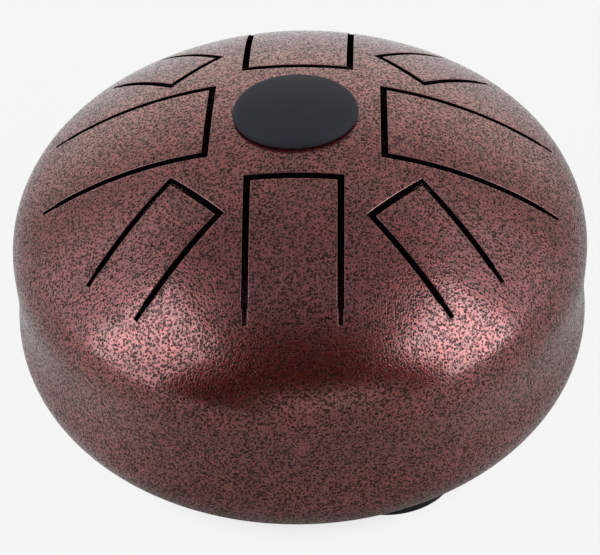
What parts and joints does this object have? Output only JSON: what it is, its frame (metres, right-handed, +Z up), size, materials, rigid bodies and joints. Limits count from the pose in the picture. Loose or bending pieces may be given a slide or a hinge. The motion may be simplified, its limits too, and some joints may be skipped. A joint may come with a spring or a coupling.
{
  "type": "steel tongue drum",
  "caption": "Round steel tongue drum: a dome slotted into tuned tongues, welded to a bowl with a sound port, with a rubber centre plug and rubber feet.",
  "frame": {"origin": "on the floor under the drum's axis, at the bottom centre of its box", "axes": "+Z up along the drum's axis, -Y towards the front tongue, +X to the right"},
  "size_m": [0.2044, 0.2044, 0.1302],
  "materials": {
    "hammertone_coat": "deep red hammertone powder coat on steel, dimpled and glossy",
    "plug_rubber": "satin black rubber",
    "foot_rubber": "satin black rubber"
  },
  "bodies": {
    "drum": {"tongue_shell": "hammertone_coat", "bowl_shell": "hammertone_coat", "seam_weld": "hammertone_coat", "foot_right": "foot_rubber", "foot_rear": "foot_rubber", "foot_left": "foot_rubber"},
    "plug": {"centre_plug": "plug_rubber"}
  },
  "joints": [
    {"name": "plug_pull", "type": "slide", "parent": "drum", "child": "plug", "axis": [0, 0, 1], "range_m": [0, 0.025]}
  ]
}
